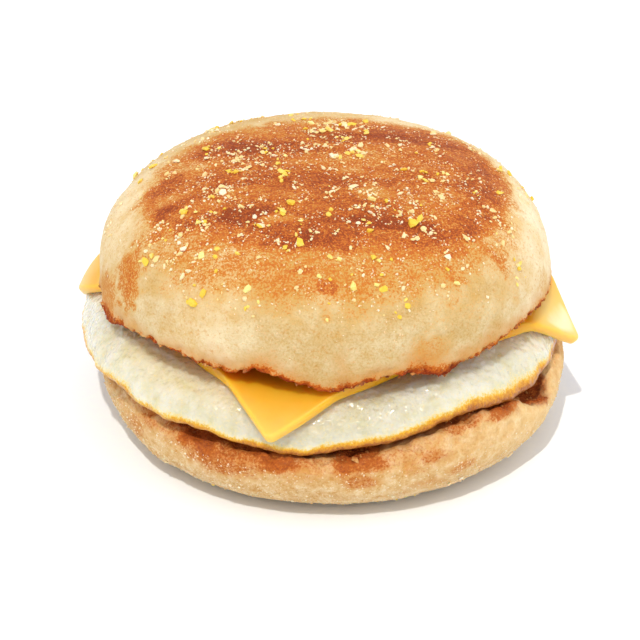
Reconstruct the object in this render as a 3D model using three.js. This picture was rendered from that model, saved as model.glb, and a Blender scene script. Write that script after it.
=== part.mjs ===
// A breakfast sandwich: an English muffin split in two, holding a round egg patty and, on the
// egg, a square slice of cheese set cornerwise, so that its corners hang over the egg's edge.
// Millimetres, +Z up. The origin is the centre of the flat base that the bottom half rests on.
// One corner of the cheese hangs down in front, towards -Y.

import * as THREE from 'three';

// Pieces that lie on each other keep this much air between their meshes.
const AIR = 0.4;

// Each round piece is a turned section, pushed out of round afterwards. The rings under the top
// half lie closer together towards its rim, where the egg and the cheese press into it.
const TURN_STEPS = 70;
const ARC_STEPS = 6;
const DOME_STEPS = 15;
const UNDERSIDE_RINGS = [0.3, 0.55, 0.75, 0.85, 0.93, 1];

// Bottom half of the muffin.
const BASE_RADIUS = 35;
const BOTTOM_RADIUS = 50.3;
const BOTTOM_WIDEST_HEIGHT = 13.8;
const BOTTOM_RIM_WIDTH = 3;
const BOTTOM_RIM_ROUNDNESS = 2;
const BOTTOM_RIM_START = 15;
const SPLIT_HEIGHT = 19;
const SPLIT_RIM_HEIGHT = 16.2;
const SPLIT_FLAT_RADIUS = 33;
const SPLIT_RIM_RADIUS = 47;
const BOTTOM_ROUNDNESS = 1.95;

// Egg patty, lying on the cut face of the bottom half and drooping where it overhangs it.
const EGG_X = -1.7;
const EGG_Y = 3.1;
const EGG_RADIUS = 51.7;
const EGG_UNDERSIDE_HEIGHT = 19.6;
const EGG_THICKNESS = 8.6;
const EGG_SHOULDER_RADIUS = 42.5;
const EGG_SHOULDER_ROUNDNESS = 1.6;
const EGG_LIP = 1.2;
const EGG_LEAN_X = 0.012;
const EGG_LEAN_Y = 0.012;
const EGG_DROOP_RADIUS = 34;

// Cheese slice, lying on the egg. Each corner folds over the egg's shoulder along a straight line,
// so far from the egg's axis, and hangs at its own angle in degrees: the front corner first, then
// on round by the right, the back and the left.
const CHEESE_X = -1.2;
const CHEESE_Y = 3.7;
const CHEESE_SIDE = 81.4;
const CHEESE_THICKNESS = 2.3;
const CHEESE_CORNER_AZIMUTH = -101.3;
const CHEESE_CELLS = 24;
const CHEESE_BEND_RADIUS = 4.5;
const CHEESE_CORNERS = [
  { foldRadius: 43.8, hang: 26 },
  { foldRadius: 43.8, hang: 45 },
  { foldRadius: 43.5, hang: 33 },
  { foldRadius: 43.8, hang: 46 },
];
const CHEESE_CLEARANCE = 3.5;

// Top half of the muffin, a low dome that leans back a little.
const TOP_X = -1.4;
const TOP_Y = 1.9;
const TOP_RADIUS = 47.9;
const TOP_RIM_HEIGHT = 31.1;
const TOP_DOME_HEIGHT = 26.7;
const TOP_WALL_ROUNDNESS = 3.15;
const TOP_DOME_ROUNDNESS = 2.68;
const TOP_LEAN_Y = -0.03;
const TOP_LIP = 1;
const TOP_WALL_HEIGHT = 11;

// Swells round each edge: the azimuth in degrees, how far each reaches to either side, and its rise.
const BOTTOM_RIM_SWELLS = [
  { at: -50, reach: 38, rise: 4.2 },
  { at: -28, reach: 12, rise: -3.4 },
  { at: -8, reach: 22, rise: 3.4 },
  { at: -145, reach: 10, rise: 1 },
  { at: 170, reach: 35, rise: -1.4 },
  { at: 60, reach: 40, rise: 1.8 },
  { at: 112, reach: 22, rise: -1.2 },
];
const EGG_EDGE_SWELLS = [
  { at: 180, reach: 26, rise: -1.2 },
  { at: -147, reach: 12, rise: 1.2 },
  { at: -118, reach: 9, rise: 0.8 },
  { at: -97, reach: 16, rise: -1.1 },
  { at: -58, reach: 19, rise: 2 },
  { at: -30, reach: 14, rise: -0.5 },
  { at: -5, reach: 26, rise: -1.5 },
  { at: 28, reach: 22, rise: 0.9 },
  { at: 74, reach: 24, rise: -1 },
  { at: 128, reach: 20, rise: 0.8 },
];
const EGG_OUTLINE_SWELLS = [
  { at: 5, reach: 40, rise: -1.4 },
  { at: 100, reach: 50, rise: 0.6 },
  { at: 162, reach: 30, rise: 1 },
];
const TOP_RIM_SWELLS = [
  { at: -163, reach: 15, rise: -3.3 },
  { at: -134, reach: 24, rise: 1.6 },
  { at: -107, reach: 9, rise: 1.9 },
  { at: -88, reach: 10, rise: -2.2 },
  { at: -73, reach: 8, rise: 0.7 },
  { at: -59, reach: 8, rise: -1.6 },
  { at: -30, reach: 21, rise: 2 },
  { at: 22, reach: 16, rise: -1 },
  { at: 62, reach: 18, rise: 1.3 },
  { at: 101, reach: 15, rise: -1.2 },
  { at: 140, reach: 16, rise: 1 },
];
const TOP_OUTLINE_SWELLS = [
  { at: -150, reach: 40, rise: 0.5 },
  { at: -20, reach: 45, rise: 0.4 },
  { at: 80, reach: 50, rise: -0.5 },
];
const BOTTOM_OUTLINE_SWELLS = [
  { at: -150, reach: 55, rise: -1.3 },
  { at: -45, reach: 40, rise: 0.4 },
  { at: 95, reach: 60, rise: 0.6 },
];

const { degToRad, radToDeg, euclideanModulo, lerp, smoothstep } = THREE.MathUtils;

// The sum at one azimuth of smooth humps, each highest at its own azimuth.
function swellAt(azimuth, swells) {
  let total = 0;
  for (const { at, reach, rise } of swells) {
    const away = Math.abs(euclideanModulo(azimuth - at + 180, 360) - 180);
    if (away < reach) {
      total += rise * 0.5 * (1 + Math.cos(Math.PI * away / reach));
    }
  }
  return total;
}

// Radius and azimuth in degrees of a point, seen from an upright axis.
function polar(x, y, axisX, axisY) {
  const acrossX = x - axisX;
  const acrossY = y - axisY;
  return { radius: Math.hypot(acrossX, acrossY), azimuth: radToDeg(Math.atan2(acrossY, acrossX)) };
}

// A quarter of a superellipse about (centreRadius, centreHeight), from `start` to `end` degrees,
// where 0 points outwards and 90 upwards. A negative height makes the quarter hang down.
function arc(centreRadius, centreHeight, width, height, roundness, start, end) {
  const points = [];
  for (let step = 0; step <= ARC_STEPS; step += 1) {
    const angle = degToRad(lerp(start, end, step / ARC_STEPS));
    const outwards = Math.max(Math.cos(angle), 0) ** (2 / roundness);
    const upwards = Math.max(Math.sin(angle), 0) ** (2 / roundness);
    points.push(new THREE.Vector2(centreRadius + width * outwards, centreHeight + height * upwards));
  }
  return points;
}

// A solid turned from `profile` (radius, height) about +Z. `shape` then moves each point.
function turned(profile, shape) {
  const geometry = new THREE.LatheGeometry(profile, TURN_STEPS);
  geometry.rotateX(Math.PI / 2);
  return reshaped(geometry, shape);
}

function reshaped(geometry, shape) {
  const position = geometry.getAttribute('position');
  const point = new THREE.Vector3();
  for (let index = 0; index < position.count; index += 1) {
    point.fromBufferAttribute(position, index);
    shape(point);
    position.setXYZ(index, point.x, point.y, point.z);
  }
  geometry.computeVertexNormals();
  return geometry;
}

// How far the whole egg layer lies above or below its level, at a place on it.
function eggLift(x, y) {
  const { radius, azimuth } = polar(x, y, EGG_X, EGG_Y);
  const lean = EGG_LEAN_X * (x - EGG_X) + EGG_LEAN_Y * (y - EGG_Y);
  const edge = smoothstep(radius, EGG_DROOP_RADIUS, EGG_RADIUS);
  return lean + swellAt(azimuth, EGG_EDGE_SWELLS) * edge;
}

// Height of the egg's upper surface over a place, or -Infinity beyond its edge.
function eggTopHeight(x, y) {
  const { radius } = polar(x, y, EGG_X, EGG_Y);
  if (radius > EGG_RADIUS) {
    return -Infinity;
  }
  const out = Math.max(radius - EGG_SHOULDER_RADIUS, 0) / (EGG_RADIUS - EGG_SHOULDER_RADIUS);
  const fall = (1 - out ** EGG_SHOULDER_ROUNDNESS) ** (1 / EGG_SHOULDER_ROUNDNESS);
  return EGG_UNDERSIDE_HEIGHT + EGG_LIP + (EGG_THICKNESS - EGG_LIP) * fall + eggLift(x, y);
}

// Radius of the egg's edge at a height above its underside.
function eggEdgeRadius(height) {
  const up = THREE.MathUtils.clamp((height - EGG_LIP) / (EGG_THICKNESS - EGG_LIP), 0, 1);
  const reach = (1 - up ** EGG_SHOULDER_ROUNDNESS) ** (1 / EGG_SHOULDER_ROUNDNESS);
  return EGG_SHOULDER_RADIUS + (EGG_RADIUS - EGG_SHOULDER_RADIUS) * reach;
}

// Height of the bottom half's cut face: level in the middle, falling to a torn rim.
function splitHeight(x, y) {
  const { radius, azimuth } = polar(x, y, 0, 0);
  const rim = SPLIT_RIM_HEIGHT + swellAt(azimuth, BOTTOM_RIM_SWELLS);
  const face = lerp(SPLIT_HEIGHT, rim, smoothstep(radius, SPLIT_FLAT_RADIUS, SPLIT_RIM_RADIUS));
  return Math.min(face, EGG_UNDERSIDE_HEIGHT + eggLift(x, y) - AIR);
}

function makeMuffinBottom() {
  const wallRadius = BOTTOM_RADIUS - BOTTOM_RIM_WIDTH;
  const wallRise = SPLIT_RIM_HEIGHT - BOTTOM_WIDEST_HEIGHT;
  const profile = [
    new THREE.Vector2(0, 0),
    new THREE.Vector2(BASE_RADIUS / 2, 0),
    ...arc(BASE_RADIUS, BOTTOM_WIDEST_HEIGHT, BOTTOM_RADIUS - BASE_RADIUS, -BOTTOM_WIDEST_HEIGHT,
      BOTTOM_ROUNDNESS, 90, 0),
    ...arc(wallRadius, BOTTOM_WIDEST_HEIGHT, BOTTOM_RIM_WIDTH, wallRise,
      BOTTOM_RIM_ROUNDNESS, BOTTOM_RIM_START, 90),
    new THREE.Vector2((SPLIT_FLAT_RADIUS + SPLIT_RIM_RADIUS) / 2, SPLIT_RIM_HEIGHT),
    new THREE.Vector2(SPLIT_FLAT_RADIUS, SPLIT_RIM_HEIGHT),
    new THREE.Vector2(SPLIT_FLAT_RADIUS / 2, SPLIT_RIM_HEIGHT),
    new THREE.Vector2(0, SPLIT_RIM_HEIGHT),
  ];
  return turned(profile, (point) => {
    const { radius, azimuth } = polar(point.x, point.y, 0, 0);
    const sideways = smoothstep(point.z, 0, BOTTOM_WIDEST_HEIGHT)
      * smoothstep(radius, BASE_RADIUS, BOTTOM_RADIUS);
    const grown = 1 + swellAt(azimuth, BOTTOM_OUTLINE_SWELLS) * sideways / BOTTOM_RADIUS;
    point.x *= grown;
    point.y *= grown;
    if (point.z > BOTTOM_WIDEST_HEIGHT) {
      const share = (point.z - BOTTOM_WIDEST_HEIGHT) / wallRise;
      point.z = lerp(BOTTOM_WIDEST_HEIGHT, splitHeight(point.x, point.y), share);
    }
  });
}

function makeEggPatty() {
  const profile = [
    new THREE.Vector2(0, 0),
    new THREE.Vector2(EGG_DROOP_RADIUS / 2, 0),
    new THREE.Vector2(EGG_DROOP_RADIUS, 0),
    new THREE.Vector2((EGG_DROOP_RADIUS + EGG_RADIUS) / 2, 0),
    new THREE.Vector2(EGG_RADIUS - EGG_LIP, 0),
    ...arc(EGG_SHOULDER_RADIUS, EGG_LIP, EGG_RADIUS - EGG_SHOULDER_RADIUS, EGG_THICKNESS - EGG_LIP,
      EGG_SHOULDER_ROUNDNESS, 0, 90),
    new THREE.Vector2(EGG_DROOP_RADIUS, EGG_THICKNESS),
    new THREE.Vector2(EGG_DROOP_RADIUS / 2, EGG_THICKNESS),
    new THREE.Vector2(0, EGG_THICKNESS),
  ];
  return turned(profile, (point) => {
    const { radius, azimuth } = polar(point.x, point.y, 0, 0);
    const sideways = smoothstep(radius, EGG_DROOP_RADIUS, EGG_RADIUS);
    const grown = 1 + swellAt(azimuth, EGG_OUTLINE_SWELLS) * sideways / EGG_RADIUS;
    point.x = EGG_X + point.x * grown;
    point.y = EGG_Y + point.y * grown;
    point.z += EGG_UNDERSIDE_HEIGHT + eggLift(point.x, point.y);
  });
}

// The corner of the slice that a place is nearest to: the corner's direction from the egg's axis,
// how far out the place is in that direction, how far it lies to the side, its fold and its hang.
function nearestCorner(x, y) {
  let nearest = { outwards: -Infinity };
  CHEESE_CORNERS.forEach(({ foldRadius, hang }, corner) => {
    const azimuth = degToRad(CHEESE_CORNER_AZIMUTH + 90 * corner);
    const outwards = (x - EGG_X) * Math.cos(azimuth) + (y - EGG_Y) * Math.sin(azimuth);
    if (outwards > nearest.outwards) {
      const sideways = (y - EGG_Y) * Math.cos(azimuth) - (x - EGG_X) * Math.sin(azimuth);
      nearest = { azimuth, outwards, sideways, foldRadius, hang: degToRad(hang) };
    }
  });
  return nearest;
}

// Where a point of the flat slice comes to lie. `across` and `along` run from the slice's centre,
// and `above` from its mid-surface. Past the egg's shoulder each corner bends down, and then hangs.
function drapeCheese(point) {
  const { x: across, y: along, z: above } = point;
  const turn = degToRad(CHEESE_CORNER_AZIMUTH + 45);
  const flatX = CHEESE_X + across * Math.cos(turn) - along * Math.sin(turn);
  const flatY = CHEESE_Y + across * Math.sin(turn) + along * Math.cos(turn);
  const { azimuth, outwards, sideways, foldRadius, hang } = nearestCorner(flatX, flatY);
  const past = Math.max(outwards - foldRadius, 0);
  const slope = Math.min(past / CHEESE_BEND_RADIUS, hang);
  const straight = Math.max(past - CHEESE_BEND_RADIUS * hang, 0);
  const bentOut = Math.min(outwards, foldRadius)
    + CHEESE_BEND_RADIUS * Math.sin(slope) + straight * Math.cos(slope);
  const bentHeight = EGG_THICKNESS + AIR + CHEESE_THICKNESS / 2
    - CHEESE_BEND_RADIUS * (1 - Math.cos(slope)) - straight * Math.sin(slope);
  const innerOut = bentOut - CHEESE_THICKNESS / 2 * Math.sin(slope);
  const innerHeight = bentHeight - CHEESE_THICKNESS / 2 * Math.cos(slope);
  const edge = eggEdgeRadius(innerHeight) + swellAt(radToDeg(azimuth), EGG_OUTLINE_SWELLS);
  const pushed = slope > 0 ? Math.max(edge + AIR - innerOut, 0) : 0;
  const finalOut = bentOut + pushed + above * Math.sin(slope);
  point.x = EGG_X + finalOut * Math.cos(azimuth) - sideways * Math.sin(azimuth);
  point.y = EGG_Y + finalOut * Math.sin(azimuth) + sideways * Math.cos(azimuth);
  point.z = EGG_UNDERSIDE_HEIGHT + bentHeight + above * Math.cos(slope) + eggLift(point.x, point.y);
}

function makeCheeseSlice() {
  const slab = new THREE.BoxGeometry(
    CHEESE_SIDE, CHEESE_SIDE, CHEESE_THICKNESS,
    CHEESE_CELLS, CHEESE_CELLS, 1,
  );
  return reshaped(slab, drapeCheese);
}

// Height of the cheese's upper surface at a place, were the slice to reach that far.
function cheeseTopHeight(x, y) {
  const { outwards, foldRadius, hang } = nearestCorner(x, y);
  const outerBend = CHEESE_BEND_RADIUS + CHEESE_THICKNESS / 2;
  const past = Math.max(outwards - foldRadius - AIR, 0);
  const bent = Math.min(past, outerBend * Math.sin(hang));
  const drop = outerBend - Math.sqrt(outerBend ** 2 - bent ** 2) + (past - bent) * Math.tan(hang);
  return EGG_UNDERSIDE_HEIGHT + EGG_THICKNESS + AIR + CHEESE_THICKNESS - drop + eggLift(x, y);
}

// Lowest height that clears the egg and, over the slice and just round it, the cheese.
function coverHeight(x, y) {
  const turn = degToRad(CHEESE_CORNER_AZIMUTH + 45);
  const across = (x - CHEESE_X) * Math.cos(turn) + (y - CHEESE_Y) * Math.sin(turn);
  const along = (y - CHEESE_Y) * Math.cos(turn) - (x - CHEESE_X) * Math.sin(turn);
  const half = CHEESE_SIDE / 2 + CHEESE_CLEARANCE;
  const overCheese = Math.max(Math.abs(across), Math.abs(along)) < half;
  const top = overCheese ? cheeseTopHeight(x, y) : eggTopHeight(x, y);
  return top + AIR;
}

// Height of the top half's underside: its own rim where that is clear, or what it lies on.
function undersideHeight(x, y) {
  const { azimuth } = polar(x, y, TOP_X, TOP_Y);
  const rim = TOP_RIM_HEIGHT + TOP_LEAN_Y * (y - TOP_Y) + swellAt(azimuth, TOP_RIM_SWELLS);
  return Math.max(rim, coverHeight(x, y));
}

function makeMuffinTop() {
  const profile = [
    new THREE.Vector2(0, 0),
  ];
  for (const share of UNDERSIDE_RINGS) {
    profile.push(new THREE.Vector2(share * (TOP_RADIUS - TOP_LIP), 0));
  }
  for (let step = 0; step < DOME_STEPS; step += 1) {
    const angle = degToRad(90 * (step + 0.5) / DOME_STEPS);
    profile.push(new THREE.Vector2(
      TOP_RADIUS * Math.cos(angle) ** (2 / TOP_WALL_ROUNDNESS),
      TOP_DOME_HEIGHT * Math.sin(angle) ** (2 / TOP_DOME_ROUNDNESS),
    ));
  }
  profile.push(new THREE.Vector2(0, TOP_DOME_HEIGHT));
  return turned(profile, (point) => {
    const { azimuth } = polar(point.x, point.y, 0, 0);
    const grown = 1 + swellAt(azimuth, TOP_OUTLINE_SWELLS) / TOP_RADIUS;
    point.x = TOP_X + point.x * grown;
    point.y = TOP_Y + point.y * grown;
    const level = TOP_RIM_HEIGHT + TOP_LEAN_Y * (point.y - TOP_Y) + point.z;
    const toRim = undersideHeight(point.x, point.y) - (level - point.z);
    point.z = level + toRim * (1 - smoothstep(point.z, 0, TOP_WALL_HEIGHT));
  });
}

function namedMesh(name, geometry, color, roughness) {
  const mesh = new THREE.Mesh(geometry, new THREE.MeshStandardMaterial({ color, roughness, metalness: 0 }));
  mesh.name = name;
  return mesh;
}

const sandwich = new THREE.Group();
sandwich.add(namedMesh('muffin_bottom', makeMuffinBottom(), 0xe0b27c, 0.85));
sandwich.add(namedMesh('egg_patty', makeEggPatty(), 0xf3ead0, 0.35));
sandwich.add(namedMesh('cheese_slice', makeCheeseSlice(), 0xf9b83c, 0.4));
sandwich.add(namedMesh('muffin_top', makeMuffinTop(), 0xdc9350, 0.8));

export default sandwich;
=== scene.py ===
"""A breakfast sandwich: an English muffin, a round egg patty and a cheese slice, on a pale floor.

Millimetres in the shape code, metres in the scene. +Z is up and -Y is towards the front.
"""
import math

import bpy
import numpy as np
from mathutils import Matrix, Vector, noise
from mathutils.bvhtree import BVHTree


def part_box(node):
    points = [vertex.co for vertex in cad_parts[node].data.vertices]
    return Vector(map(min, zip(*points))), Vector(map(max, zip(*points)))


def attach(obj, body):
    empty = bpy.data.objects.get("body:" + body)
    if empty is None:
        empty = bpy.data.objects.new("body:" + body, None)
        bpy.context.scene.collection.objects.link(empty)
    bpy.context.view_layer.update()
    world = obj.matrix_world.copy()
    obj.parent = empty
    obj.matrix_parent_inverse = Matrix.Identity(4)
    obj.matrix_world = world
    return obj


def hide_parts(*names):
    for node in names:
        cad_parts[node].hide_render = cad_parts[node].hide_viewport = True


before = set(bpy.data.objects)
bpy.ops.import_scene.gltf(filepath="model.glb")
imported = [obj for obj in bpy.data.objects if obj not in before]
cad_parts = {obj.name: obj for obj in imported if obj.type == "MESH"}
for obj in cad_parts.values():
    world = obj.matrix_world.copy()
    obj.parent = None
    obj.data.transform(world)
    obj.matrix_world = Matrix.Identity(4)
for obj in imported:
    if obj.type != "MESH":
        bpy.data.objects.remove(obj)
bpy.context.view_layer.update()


# ---------------------------------------------------------------------------------------------
# Bottom half of the muffin
# The lower half of a griddled yeast muffin, split with a fork, so its edge is torn and uneven.
# Its side is pale tan crust with brown patches and clinging flour, and its split face is toasted.

MM = 0.001
# The gap kept between layers, and the number of points round a turned piece.
AIR = 0.4
TURN_STEPS = 560

BASE_RADIUS = 35.0
BOTTOM_RADIUS = 50.3
BOTTOM_WIDEST_HEIGHT = 13.8
BOTTOM_RIM_WIDTH = 3.0
BOTTOM_ROUNDNESS = 1.95
SPLIT_HEIGHT = 19.0
SPLIT_RIM_HEIGHT = 16.2
SPLIT_FLAT_RADIUS = 33.0
SPLIT_RIM_RADIUS = 47.0
SPLIT_RING_WIDTH = 12.0
# Points along the base, the side, the rim, and the outer ring and the middle of the split face, and
# which of them all lies at the rim's outer corner.
BOTTOM_POINTS = (18, 58, 16, 24, 18)
BOTTOM_CORNER_POINT = 83
# Each swell: its azimuth and its reach to either side in degrees, and its rise.
BOTTOM_RIM_SWELLS = [
    (-50, 38, 4.2), (-28, 12, -3.4), (-8, 22, 3.4), (-145, 10, 1.0),
    (170, 35, -1.4), (60, 40, 1.8), (112, 22, -1.2),
]
BOTTOM_OUTLINE_SWELLS = [(-150, 55, -1.3), (-45, 40, 0.4), (95, 60, 0.6)]

# The egg presses on the split face, so its level and droop come in here already.
EGG_X = -1.7
EGG_Y = 3.1
EGG_RADIUS = 51.7
EGG_UNDERSIDE_HEIGHT = 19.6
EGG_LEAN = 0.012
EGG_DROOP_RADIUS = 34.0
EGG_EDGE_SWELLS = [
    (180, 26, -1.2), (-147, 12, 1.2), (-118, 9, 0.8), (-97, 16, -1.1), (-58, 19, 2.0),
    (-30, 14, -0.5), (-5, 26, -1.5), (28, 22, 0.9), (74, 24, -1.0), (128, 20, 0.8),
]


def swell_at(azimuth, swells):
    """Sum at each azimuth of smooth humps, each highest at its own azimuth."""
    total = np.zeros_like(azimuth)
    for at, reach, rise in swells:
        away = np.abs((azimuth - at + 180) % 360 - 180)
        hump = rise * 0.5 * (1 + np.cos(np.pi * away / reach))
        total += np.where(away < reach, hump, 0)
    return total


def smooth(value, low, high):
    """0 below low, 1 above high, and an S-curve between."""
    share = np.clip((value - low) / (high - low), 0, 1)
    return share * share * (3 - 2 * share)


def blend(a, b, share):
    """From a to b, as far as the share says."""
    return a + (b - a) * share


def polar(x, y, axis_x=0.0, axis_y=0.0):
    """Distance from an upright axis, and azimuth round it in degrees."""
    return np.hypot(x - axis_x, y - axis_y), np.degrees(np.arctan2(y - axis_y, x - axis_x))


def egg_lift(x, y):
    """How far the egg layer lies above or below its level."""
    radius, azimuth = polar(x, y, EGG_X, EGG_Y)
    lean = EGG_LEAN * (x - EGG_X) + EGG_LEAN * (y - EGG_Y)
    return lean + swell_at(azimuth, EGG_EDGE_SWELLS) * smooth(radius, EGG_DROOP_RADIUS, EGG_RADIUS)


def split_height(x, y):
    """Height of the split face: level in the middle, and torn up or down at the rim."""
    radius, azimuth = polar(x, y)
    rim = SPLIT_RIM_HEIGHT + swell_at(azimuth, BOTTOM_RIM_SWELLS)
    face = blend(SPLIT_HEIGHT, rim, smooth(radius, SPLIT_FLAT_RADIUS, SPLIT_RIM_RADIUS))
    return np.minimum(face, EGG_UNDERSIDE_HEIGHT + egg_lift(x, y) - AIR)


def run_length(line):
    """How far along the line each of its points lies."""
    return np.concatenate([[0], np.cumsum(np.hypot(*np.diff(line, axis=0).T))])


def joined(stretches, counts):
    """One profile from several lines end to end, each with its count of evenly spaced points."""
    parts = []
    for stretch, count in zip(stretches, counts):
        line = np.array(stretch, float)
        along = run_length(line)
        wanted = np.linspace(0, along[-1], count)
        parts.append(np.stack([np.interp(wanted, along, line[:, k]) for k in (0, 1)], axis=1))
    return np.concatenate([part[:-1] for part in parts[:-1]] + parts[-1:])


def from_point(profile, point):
    """Distance along a profile from one of its points, for every point of the turned grid."""
    along = run_length(profile)
    return np.repeat((along - along[point])[:, None], TURN_STEPS, axis=1)


def quarter(centre_radius, centre_height, width, height, round_r, round_z, start=0, end=90):
    """Dense points on a quarter superellipse, from `start` to `end` degrees (0 is outwards)."""
    angle = np.radians(np.linspace(start, end, 900))
    out = np.clip(np.cos(angle), 0, 1) ** (2 / round_r)
    up = np.clip(np.sin(angle), 0, 1) ** (2 / round_z)
    return np.stack([centre_radius + width * out, centre_height + height * up], axis=1)


def turned(profile):
    """A profile of (radius, height) turned about Z: its x, y and z, each (rings, TURN_STEPS)."""
    angle = np.linspace(0, 2 * np.pi, TURN_STEPS, endpoint=False)
    radius, height = profile[:, :1], profile[:, 1:]
    return radius * np.cos(angle), radius * np.sin(angle), height + 0 * angle


def fitted(grid, node):
    """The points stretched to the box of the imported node, in millimetres."""
    low, high = (np.array(corner, float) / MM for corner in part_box(node))
    flat = grid.reshape(-1, 3)
    own_low, own_high = flat.min(axis=0), flat.max(axis=0)
    return low + (grid - own_low) * (high - low) / (own_high - own_low)


def grid_normals(grid):
    """Outward normals of a turned grid."""
    around = np.roll(grid, -1, axis=1) - np.roll(grid, 1, axis=1)
    along = np.gradient(grid, axis=0)
    normals = np.cross(around, along)
    length = np.linalg.norm(normals, axis=2, keepdims=True)
    return normals / np.maximum(length, 1e-9)


def pushed(grid, push):
    """The grid moved along its normals by `push` millimetres."""
    return grid + grid_normals(grid) * push[..., None]


def rough(grid, size, octaves, seed):
    """Fractal noise, about -1 to 1, with features of `size` millimetres."""
    flat = grid.reshape(-1, 3) / size + seed
    values = [noise.fractal(point, 1.0, 2.0, octaves) for point in flat.tolist()]
    return np.array(values).reshape(grid.shape[:-1])


def relief(grid, *layers):
    """Sum of rough layers, each a height and a size in millimetres, octaves and a seed."""
    return sum(height * rough(grid, *layer) for height, *layer in layers)


def cells(grid, size, seed):
    """Distance to the nearest of scattered points about `size` millimetres apart, 0 to 1."""
    flat = grid.reshape(-1, 3) / size + seed
    values = [noise.voronoi(point)[0][0] for point in flat.tolist()]
    return np.array(values).reshape(grid.shape[:-1])


def blots(across, along, spots, ragged, turn=1e6):
    """Strongest of soft blots, each two middles, two half-widths and a strength.

    `ragged` is added to the distance from a middle, and `across` repeats every `turn`.
    """
    strongest = np.zeros_like(across)
    for middle_across, middle_along, half_across, half_along, strength in spots:
        sideways = (across - middle_across + turn / 2) % turn - turn / 2
        away = np.hypot(sideways / half_across, (along - middle_along) / half_along)
        strongest = np.maximum(strongest, strength * (1 - smooth(away + ragged, 0.3, 1.2)))
    return strongest


def in_scene(name, data):
    """A new object with this data, linked to the scene."""
    thing = bpy.data.objects.new(name, data)
    bpy.context.scene.collection.objects.link(thing)
    return thing


def mesh_piece(name, vertices, faces, node=None, slot=None, smooth_shaded=True, **fields):
    """A mesh object from millimetre vertices, with a float attribute for each named field."""
    mesh = bpy.data.meshes.new(name)
    mesh.from_pydata((vertices * MM).tolist(), [], faces)
    mesh.polygons.foreach_set("use_smooth", [smooth_shaded] * len(mesh.polygons))
    for field, values in fields.items():
        layer = mesh.attributes.new(field, "FLOAT", "POINT")
        layer.data.foreach_set("value", values.ravel())
    piece = in_scene(name, mesh)
    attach(piece, "root")
    if node:
        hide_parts(node)
    return piece


def turned_piece(name, grid, node, slot, **fields):
    """A closed piece from a turned grid whose first and last rings are single points."""
    vertices = np.concatenate([grid[0, :1], grid[1:-1].reshape(-1, 3), grid[-1, :1]])
    step = np.arange(TURN_STEPS)
    after = (step + 1) % TURN_STEPS
    starts = 1 + TURN_STEPS * np.arange(len(grid) - 2)
    faces = []
    for low, high in zip(starts[:-1], starts[1:]):
        faces += np.stack([low + step, low + after, high + after, high + step], axis=1).tolist()
    first, last = np.zeros_like(step), np.full_like(step, len(vertices) - 1)
    faces += np.stack([first, 1 + after, 1 + step], axis=1).tolist()
    faces += np.stack([last, starts[-1] + step, starts[-1] + after], axis=1).tolist()
    flat = {
        field: np.concatenate([values[0, :1], values[1:-1].ravel(), values[-1, :1]])
        for field, values in fields.items()
    }
    return mesh_piece(name, vertices, faces, node, slot, **flat)


def linear(hex_colour):
    """An sRGB hex colour as linear RGBA."""
    parts = [int(hex_colour[i:i + 2], 16) / 255 for i in (1, 3, 5)]
    lin = [p / 12.92 if p <= 0.04045 else ((p + 0.055) / 1.055) ** 2.4 for p in parts]
    return (*lin, 1.0)


def add(tree, kind, inputs=None, stops=None, out=0, **settings):
    """A node with settings, input values or links, and a ramp's stops; gives its output `out`.

    A colour is a hex string, and a stop may also be one number, for a grey.
    """
    node = tree.nodes.new("ShaderNode" + kind)
    for key, value in settings.items():
        setattr(node, key, value)
    for key, value in (inputs or {}).items():
        if isinstance(value, bpy.types.NodeSocket):
            tree.links.new(value, node.inputs[key])
        else:
            node.inputs[key].default_value = linear(value) if isinstance(value, str) else value
    for index, (position, colour) in enumerate((stops or {}).items()):
        elements = node.color_ramp.elements
        element = elements[index] if index < 2 else elements.new(position)
        element.position = position
        element.color = linear(colour) if isinstance(colour, str) else (colour, colour, colour, 1.0)
    return node.outputs[out] if node.outputs else node


def new_material(name, *fields):
    """A material, its tree, each point's place in millimetres, and the mesh's fields by name.

    Scales of noise are per millimetre: a scale of 0.5 gives features about 2 mm across.
    """
    material = bpy.data.materials.new(name)
    material.use_nodes = True
    tree = material.node_tree
    tree.nodes.clear()
    metres = add(tree, "TexCoord", out="Object")
    place = add(tree, "VectorMath", {0: metres, "Scale": 1 / MM}, operation="SCALE")
    field = {each: add(tree, "Attribute", attribute_name=each, out="Fac") for each in fields}
    return material, tree, place, field


def cover(pieces, material, surface):
    """Put the material, with this surface shader, on the pieces."""
    add(material.node_tree, "OutputMaterial", {"Surface": surface})
    for piece in pieces:
        piece.data.materials.append(material)


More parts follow.
